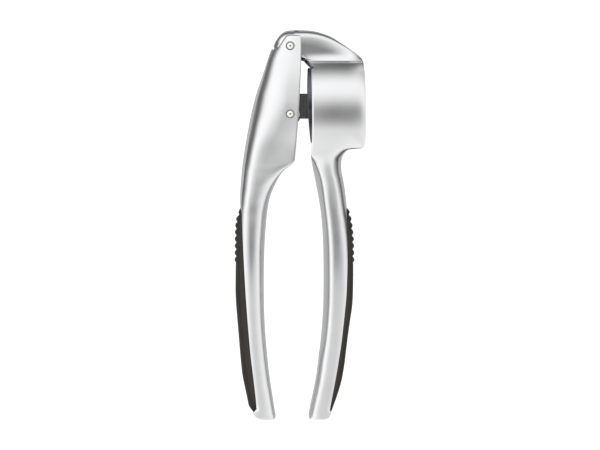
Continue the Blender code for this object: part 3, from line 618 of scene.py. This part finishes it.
def make_screw(name, v):
    """The slotted screw that closes a pin from the back."""
    top = cheek_at(v) + HEAD_RISE
    dome = [(radius, -top - below) for radius, below in HEAD_DOME[1:]]
    profile = [(0.0, 1.0), (SCREW_R - 0.15, 1.0), (SCREW_R, 0.8), (SCREW_R, -top + HEAD_UNDER),
               (HEAD_R, -top + HEAD_UNDER), *dome[::-1], (0.0, -top)]
    piece = turned(name, profile, 0.0, v)
    slot = [(-3.0, v - SLOT_HALF), (3.0, v - SLOT_HALF), (3.0, v + SLOT_HALF), (-3.0, v + SLOT_HALF)]
    cut(piece, skin("slot", [[(x, y, w) for x, y in slot] for w in (-top - 1.0, -top + SLOT_DEPTH)]))
    smooth(piece, 35)
    return piece


# ------------------------------------------------------------------ plunger

STEM_TOP_V = -21.4
STEM_BOTTOM_V = -32.5
STEM_BACK_U = -3.0
STEM_FRONT_U = 25.0
STEM_HALF = 5.4
STEM_BOSS_R = 4.8
HEAD_INSET = 5.8
HEAD_BACK_U = 23.5
HEAD_FRONT_U = 28.5


def bevel(piece, width):
    """Round a piece's sharp edges."""
    modifier = piece.modifiers.new("bevel", 'BEVEL')
    modifier.width = width * MM
    modifier.segments = 3
    modifier.limit_method = 'ANGLE'
    modifier.angle_limit = math.radians(40)
    bake(piece)


def make_plunger():
    """Stem with a boss on the pivot pin, and an oval head in the chamber."""
    edge = 0.6
    rounding = ((edge, 0.0), (0.15, 0.2), (0.0, edge))
    ends = [(HEAD_INSET + inset, HEAD_BACK_U + along) for inset, along in rounding]
    ends += [(HEAD_INSET + inset, HEAD_FRONT_U - along) for inset, along in rounding[::-1]]
    head = skin("plunger_press", [oval(inset, level(u)) for inset, u in ends])
    stem = plate("stem", [(STEM_BACK_U, STEM_TOP_V), (STEM_FRONT_U, STEM_TOP_V),
                          (STEM_FRONT_U, STEM_BOTTOM_V), (STEM_BACK_U, STEM_BOTTOM_V)], STEM_HALF)
    bevel(stem, 0.55)
    cut(head, stem, 'UNION')
    boss = rod("boss", 0.0, PIVOT_V, STEM_BOSS_R, -STEM_HALF, STEM_HALF, 96)
    bevel(boss, 0.4)
    cut(head, boss, 'UNION')
    cut(head, rod("pivot_hole", 0.0, PIVOT_V, RUNNING_HOLE_R, -THROUGH, THROUGH))
    smooth(head)
    return head


# ------------------------------------------------------------------- basket

BASKET_OUTER_INSET = 2.7
BASKET_INNER_INSET = 3.5
BASKET_END_U = 32.4
SIEVE_FLOOR = 0.8
HOLE_R = 0.95
HOLE_PITCH = 3.3
HOLE_MARGIN = 1.2
ROW_PITCH = HOLE_PITCH * math.sin(math.radians(60))


def lip_u(v):
    """The basket's rim bows out of the mouth a little."""
    return 7.65 + 0.0025 * (v + 18.0) ** 2


def hole_centres():
    """Staggered rows of holes over the basket's floor."""
    centres = []
    rows = int((CUP_HIGH_V - CUP_BOTTOM_V) / ROW_PITCH) + 1
    middle = (CUP_HIGH_V + CUP_BOTTOM_V) / 2
    rim = oval(BASKET_INNER_INSET + HOLE_MARGIN + HOLE_R, level(0.0))
    rim_v = np.array([point[1] for point in rim[:len(rim) // 2]])
    rim_w = np.array([point[2] for point in rim[:len(rim) // 2]])
    for row in range(-rows // 2, rows // 2 + 1):
        v = middle + row * ROW_PITCH
        if rim_v.min() < v < rim_v.max():
            reach = np.interp(-v, -rim_v, rim_w)
            for step in range(-6, 7):
                w = (step + 0.5 * (row % 2)) * HOLE_PITCH
                if abs(w) < reach:
                    centres.append((v, w))
    return centres


def make_sieve_basket():
    """Pressed basket with a rounded rim and a perforated floor."""
    edge = 0.35
    outer = skin("sieve_cup", [oval(BASKET_OUTER_INSET + 0.25, lip_u),
                               oval(BASKET_OUTER_INSET, lambda v: lip_u(v) + edge),
                               oval(BASKET_OUTER_INSET, level(BASKET_END_U - edge)),
                               oval(BASKET_OUTER_INSET + 0.1, level(BASKET_END_U - 0.1)),
                               oval(BASKET_OUTER_INSET + edge, level(BASKET_END_U))])
    cut(outer, skin("hollow", [oval(BASKET_INNER_INSET - 0.25, lambda v: lip_u(v) - 0.01),
                               oval(BASKET_INNER_INSET, lambda v: lip_u(v) + edge),
                               oval(BASKET_INNER_INSET, level(BASKET_END_U - SIEVE_FLOOR))]))
    drills = bmesh.new()
    for v, w in hole_centres():
        where = TO_ROW @ Matrix.Translation((BASKET_END_U, v, w)) @ Matrix.Rotation(math.pi / 2, 4, 'Y')
        bmesh.ops.create_cone(drills, cap_ends=True, segments=20, radius1=HOLE_R, radius2=HOLE_R,
                              depth=4.0, matrix=where)
    cut(outer, object_from(drills, "drills"))
    smooth(outer)
    return outer


# -------------------------------------------------------------------- grips

GRIP_TOP_V = -72.7
RIB_TOP_V = -74.25
RIB_PITCH = 3.1
RIB_COUNT = 8
RIB_DEPTH = 0.8
RIB_VALLEY = 0.36
RIB_END_V = RIB_TOP_V - RIB_COUNT * RIB_PITCH
GRIP_SEAT = 0.25
GRIP_SIDE_GAP = 0.12
GRIP_FULLNESS = 0.75
LEVER_GRIP_LINE = ((GRIP_TOP_V, -22.5), (-74.5, -22.8), (-77.6, -23.9), (-80.6, -24.3), (-84.0, -24.45),
                   (-98.0, -24.55), (-110.0, -24.65), (-117.0, -24.3), (-122.4, -23.85), (-133.2, -22.95),
                   (-144.0, -22.0), (-148.5, -21.4), (-153.0, -20.5), (-158.4, -19.35), (-161.4, -18.75),
                   (-162.4, -18.3), (-164.6, -16.5))
HOPPER_GRIP_LINE = ((GRIP_TOP_V, 25.75), (-74.5, 26.3), (-77.6, 27.15), (-80.6, 27.6), (-84.0, 28.0),
                    (-88.0, 28.25), (-98.0, 28.4), (-110.0, 28.3), (-117.0, 27.9), (-123.3, 27.0),
                    (-129.6, 26.1), (-136.8, 25.2), (-144.0, 24.3), (-151.2, 22.95), (-158.4, 20.7),
                    (-164.4, 18.5))


def make_grip(name, edge, side, line, face):
    """Soft strip on a handle's outer face, ribbed at the top, flush with the metal at its sides."""
    bottom = line[-1][0]
    heights = np.concatenate([GRIP_TOP_V - np.array([0.0, 0.15, 0.4, 0.8]),
                              np.arange(GRIP_TOP_V - 1.2, RIB_END_V, -0.2),
                              np.arange(RIB_END_V, bottom + 1.5, -1.2),
                              np.linspace(bottom + 1.3, bottom, 7)])
    turns = np.linspace(0.0, math.pi, 25)
    rings = []
    for v in heights:
        base = float(u_at(edge, v)) + side * 0.04
        outer = float(table_at(line, v))
        if RIB_TOP_V + RIB_PITCH / 2 > v > RIB_TOP_V - (RIB_COUNT - 0.5) * RIB_PITCH:
            wave = abs(math.cos(math.pi * (v - RIB_TOP_V) / RIB_PITCH))
            outer += side * RIB_DEPTH * (wave - RIB_VALLEY)
        rise = max(0.15, side * (outer - base))
        top_round = math.sqrt(min(1.0, 0.06 + (GRIP_TOP_V - v) / 6.0))
        end_round = math.sqrt(min(1.0, 0.06 + (v - bottom) / 5.0))
        half = (float(face(np.array([base]), v)[0]) - GRIP_SIDE_GAP) * min(top_round, end_round)
        ring = [(base - side * GRIP_SEAT, v, half)]
        for turn in turns:
            ring.append((base + side * rise * math.sin(turn) ** GRIP_FULLNESS, v,
                         half * math.copysign(abs(math.cos(turn)) ** GRIP_FULLNESS, math.cos(turn))))
        ring.append((base - side * GRIP_SEAT, v, -half))
        rings.append(ring)
    grip = skin(name, rings)
    smooth(grip, 50)
    return grip


# -------------------------------------------------------------- materials

NOISE_LOW = 0.3
NOISE_HIGH = 0.7


def new_material(name, colour, metallic, roughness):
    """A material with its nodes, links and Principled shader."""
    made = bpy.data.materials.new(name)
    made.use_nodes = True
    nodes = made.node_tree.nodes
    shader = nodes["Principled BSDF"]
    shader.inputs["Base Color"].default_value = (*colour, 1.0)
    shader.inputs["Metallic"].default_value = metallic
    shader.inputs["Roughness"].default_value = roughness
    return made, nodes, made.node_tree.links, shader


def noise_node(nodes, links, scale, detail=3.0, stretch=None):
    """Noise in object space, where a metre is 1; stretch scales it along X, Y and Z."""
    where = nodes.new("ShaderNodeTexCoord")
    noise = nodes.new("ShaderNodeTexNoise")
    noise.inputs["Scale"].default_value = scale
    noise.inputs["Detail"].default_value = detail
    if stretch:
        mapping = nodes.new("ShaderNodeMapping")
        mapping.inputs["Scale"].default_value = stretch
        links.new(where.outputs["Object"], mapping.inputs["Vector"])
        links.new(mapping.outputs["Vector"], noise.inputs["Vector"])
    else:
        links.new(where.outputs["Object"], noise.inputs["Vector"])
    return noise.outputs["Fac"]


def spread(nodes, links, value, low, high):
    """Map the noise's usual range onto low to high."""
    node = nodes.new("ShaderNodeMapRange")
    node.inputs["From Min"].default_value = NOISE_LOW
    node.inputs["From Max"].default_value = NOISE_HIGH
    node.inputs["To Min"].default_value = low
    node.inputs["To Max"].default_value = high
    links.new(value, node.inputs["Value"])
    return node.outputs["Result"]


def tint(nodes, links, value, dark, light):
    """Shade from dark to light over the noise's usual range."""
    node = nodes.new("ShaderNodeValToRGB")
    node.color_ramp.elements[0].position = NOISE_LOW
    node.color_ramp.elements[1].position = NOISE_HIGH
    node.color_ramp.elements[0].color = (*dark, 1.0)
    node.color_ramp.elements[1].color = (*light, 1.0)
    links.new(value, node.inputs["Fac"])
    return node.outputs["Color"]


def bump(nodes, links, shader, height, distance, strength):
    """Raise the surface by a height in 0 to 1; distance is in metres."""
    node = nodes.new("ShaderNodeBump")
    node.inputs["Strength"].default_value = strength
    node.inputs["Distance"].default_value = distance
    links.new(height, node.inputs["Height"])
    links.new(node.outputs["Normal"], shader.inputs["Normal"])


def satin_chrome():
    """Chrome over a fine-blasted casting."""
    made, nodes, links, shader = new_material("satin_chrome", (0.79, 0.791, 0.8), 1.0, 0.24)
    cloud = noise_node(nodes, links, 60.0)
    colour = tint(nodes, links, cloud, (0.77, 0.771, 0.78), (0.81, 0.811, 0.82))
    links.new(colour, shader.inputs["Base Color"])
    links.new(spread(nodes, links, cloud, 0.21, 0.26), shader.inputs["Roughness"])
    bump(nodes, links, shader, noise_node(nodes, links, 5000.0, 2.0), 0.00001, 0.35)
    return made


def polished_steel():
    """Turned steel of the pins, a little uneven in its polish."""
    made, nodes, links, shader = new_material("polished_steel", (0.84, 0.81, 0.77), 1.0, 0.14)
    cloud = noise_node(nodes, links, 900.0)
    links.new(spread(nodes, links, cloud, 0.1, 0.2), shader.inputs["Roughness"])
    return made


def sieve_steel():
    """Pressed steel of the basket, its colour darkened to paint the shade that falls inside the chamber's mouth.
    """
    made, nodes, links, shader = new_material("sieve_steel", (0.2, 0.2, 0.23), 1.0, 0.25)
    cloud = noise_node(nodes, links, 300.0)
    # The noise varies the tone at random; the dark range as a whole is painted shade, darker than the steel
    # itself.
    colour = tint(nodes, links, cloud, (0.1, 0.1, 0.12), (0.145, 0.145, 0.17))
    links.new(colour, shader.inputs["Base Color"])
    links.new(spread(nodes, links, cloud, 0.2, 0.3), shader.inputs["Roughness"])
    return made


def charcoal_metal():
    """Charcoal coating over metal drawn along the press."""
    made, nodes, links, shader = new_material("charcoal_metal", (0.07, 0.072, 0.07), 0.4, 0.5)
    lines = noise_node(nodes, links, 1.0, 2.0, (2600.0, 180.0, 2600.0))
    colour = tint(nodes, links, lines, (0.065, 0.067, 0.068), (0.135, 0.138, 0.14))
    links.new(colour, shader.inputs["Base Color"])
    bump(nodes, links, shader, lines, 0.00003, 0.5)
    return made


def black_grip():
    """Matt elastomer with a fine moulded grain."""
    made, nodes, links, shader = new_material("black_grip", (0.021, 0.018, 0.015), 0.0, 0.6)
    cloud = noise_node(nodes, links, 150.0)
    colour = tint(nodes, links, cloud, (0.017, 0.0142, 0.0112), (0.026, 0.0222, 0.018))
    links.new(colour, shader.inputs["Base Color"])
    links.new(spread(nodes, links, cloud, 0.52, 0.66), shader.inputs["Roughness"])
    shader.inputs["Specular IOR Level"].default_value = 0.38
    bump(nodes, links, shader, noise_node(nodes, links, 3500.0, 2.0), 0.00003, 0.5)
    return made


def moulded(name, colour):
    """Moulded plastic with a fine grain."""
    made, nodes, links, shader = new_material(name, colour, 0.0, 0.45)
    cloud = noise_node(nodes, links, 400.0)
    links.new(spread(nodes, links, cloud, 0.4, 0.52), shader.inputs["Roughness"])
    bump(nodes, links, shader, noise_node(nodes, links, 4000.0, 2.0), 0.00001, 0.4)
    return made


MATERIALS = {
    "satin_chrome": satin_chrome(),
    "polished_steel": polished_steel(),
    "sieve_steel": sieve_steel(),
    "charcoal_metal": charcoal_metal(),
    "black_grip": black_grip(),
    "black_plastic": moulded("black_plastic", (0.025, 0.025, 0.025)),
    "nylon": moulded("nylon", (0.75, 0.74, 0.7)),
}


def place(piece, body, slot, *nodes):
    """Give a piece its material, body and slot, and say which CAD nodes it stands for."""
    piece.data.materials.clear()
    piece.data.materials.append(MATERIALS[slot])
    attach(piece, body)
    if nodes:
        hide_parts(*nodes)


# ------------------------------------------------------------------ stage

STAGE_R = 8.0


def glow(name, strength, diffuse):
    """A matt surface that also glows, like a lit sheet of white acrylic."""
    made, _, _, shader = new_material(name, (diffuse, diffuse, diffuse), 0.0, 0.9)
    shader.inputs["Specular IOR Level"].default_value = 0.0
    shader.inputs["Emission Color"].default_value = (1.0, 1.0, 1.0, 1.0)
    shader.inputs["Emission Strength"].default_value = strength
    return made


def make_stage():
    """A pale glowing floor, and a white dome that only the camera sees."""
    shape = bmesh.new()
    bmesh.ops.create_circle(shape, cap_ends=True, segments=96, radius=STAGE_R)
    floor = object_from(shape, "floor")
    floor.data.materials.append(glow("floor_acrylic", 0.95, 0.3))
    floor.visible_glossy = False
    shape = bmesh.new()
    bmesh.ops.create_uvsphere(shape, u_segments=64, v_segments=32, radius=STAGE_R)
    dome = object_from(shape, "backdrop")
    dome.data.materials.append(glow("backdrop_white", 1.1, 0.0))
    dome.visible_diffuse = False
    dome.visible_glossy = False
    dome.visible_transmission = False
    dome.visible_shadow = False


# Brightness of the studio at angles in degrees from straight overhead.
STUDIO_STOPS = ((0.0, 0.15), (7.0, 0.22), (14.0, 0.47), (22.0, 0.84), (32.0, 1.10), (48.0, 1.17),
                (60.0, 1.02), (72.0, 0.55), (84.0, 0.18), (95.0, 0.08), (104.0, 0.18), (116.0, 0.48),
                (128.0, 0.55), (180.0, 0.55))
STUDIO_LEAN = (-0.13, 0.05, 0.0)


def make_world():
    """A studio tent: dim overhead, a bright ring round it, dark at the horizon, pale below."""
    world = bpy.data.worlds.new("studio")
    bpy.context.scene.world = world
    world.use_nodes = True
    nodes = world.node_tree.nodes
    links = world.node_tree.links
    where = nodes.new("ShaderNodeTexCoord")
    split = nodes.new("ShaderNodeSeparateXYZ")
    links.new(where.outputs["Generated"], split.inputs["Vector"])
    angle = nodes.new("ShaderNodeMath")
    angle.operation = 'ARCCOSINE'
    links.new(split.outputs["Z"], angle.inputs[0])
    share = nodes.new("ShaderNodeMath")
    share.operation = 'DIVIDE'
    share.inputs[1].default_value = math.pi
    links.new(angle.outputs["Value"], share.inputs[0])
    ramp = nodes.new("ShaderNodeValToRGB")
    links.new(share.outputs["Value"], ramp.inputs["Fac"])
    elements = ramp.color_ramp.elements
    while len(elements) > 1:
        elements.remove(elements[-1])
    for i, (degrees, strength) in enumerate(STUDIO_STOPS):
        element = elements[0] if i == 0 else elements.new(degrees / 180.0)
        element.position = degrees / 180.0
        element.color = (strength, strength, strength, 1.0)
    side = nodes.new("ShaderNodeVectorMath")
    side.operation = 'DOT_PRODUCT'
    side.inputs[1].default_value = STUDIO_LEAN
    links.new(where.outputs["Generated"], side.inputs[0])
    gain = nodes.new("ShaderNodeMath")
    gain.operation = 'ADD'
    gain.inputs[1].default_value = 1.0
    links.new(side.outputs["Value"], gain.inputs[0])
    background = nodes["Background"]
    links.new(ramp.outputs["Color"], background.inputs["Color"])
    links.new(gain.outputs["Value"], background.inputs["Strength"])


def area_light(name, where, size, energy, glossy, fan):
    """A square panel facing down; fan is the angle that its light spreads over, in degrees."""
    lamp = bpy.data.lights.new(name, 'AREA')
    lamp.size = size
    lamp.energy = energy
    lamp.spread = math.radians(fan)
    light = bpy.data.objects.new(name, lamp)
    light.location = where
    light.visible_glossy = glossy
    bpy.context.scene.collection.objects.link(light)


def make_lights():
    """A broad overhead light that the metal doesn't reflect, and a low gridded panel over the handles."""
    area_light("overhead", (0.0, 0.0, 1.6), 2.0, 14.0, False, 180.0)
    area_light("handle_panel", (0.0, -0.125, 0.12), 0.2, 0.0055, True, 50.0)


CAMERA_LENS = 400.0
CAMERA_HEIGHT = 3.016


def make_camera():
    """Looks straight down on the press's side, with the hinge end up."""
    data = bpy.data.cameras.new("camera")
    data.sensor_width = 36.0
    data.lens = CAMERA_LENS
    camera = bpy.data.objects.new("camera", data)
    camera.location = (0.0, 0.0, CAMERA_HEIGHT)
    bpy.context.scene.collection.objects.link(camera)
    bpy.context.scene.camera = camera


# ---------------------------------------------------------------- assembly

bpy.context.scene.view_settings.view_transform = 'Standard'
make_stage()
make_world()
make_lights()
make_camera()
place(make_hopper_body(), "hopper", "satin_chrome", "hopper_body")
place(make_sieve_basket(), "hopper", "sieve_steel", "sieve_basket")
place(make_grip("hopper_grip_strip", HOPPER_RIGHT, 1, HOPPER_GRIP_LINE, hopper_face), "hopper",
      "black_grip", "hopper_grip")
place(make_lever(), "lever", "satin_chrome", "plunger_lever")
place(make_grip("lever_grip_strip", LEVER_LEFT, -1, LEVER_GRIP_LINE, lever_face), "lever", "black_grip",
      "lever_grip")
place(make_plunger(), "plunger", "charcoal_metal", "plunger")
for pin, pin_v in (("hinge_pin", 0.0), ("plunger_pin", PIVOT_V)):
    place(make_barrel(pin + "_sleeve", pin_v), "lever", "polished_steel", pin + "_barrel")
    place(make_screw(pin + "_fixing", pin_v), "lever", "polished_steel", pin + "_screw")
SLOTS = {part["node"]: part["material_slot"] for part in frame["record"]["subparts"]}
for node_name, node in frame["nodes"].items():
    node.data.materials.clear()
    node.data.materials.append(MATERIALS[SLOTS[node_name]])
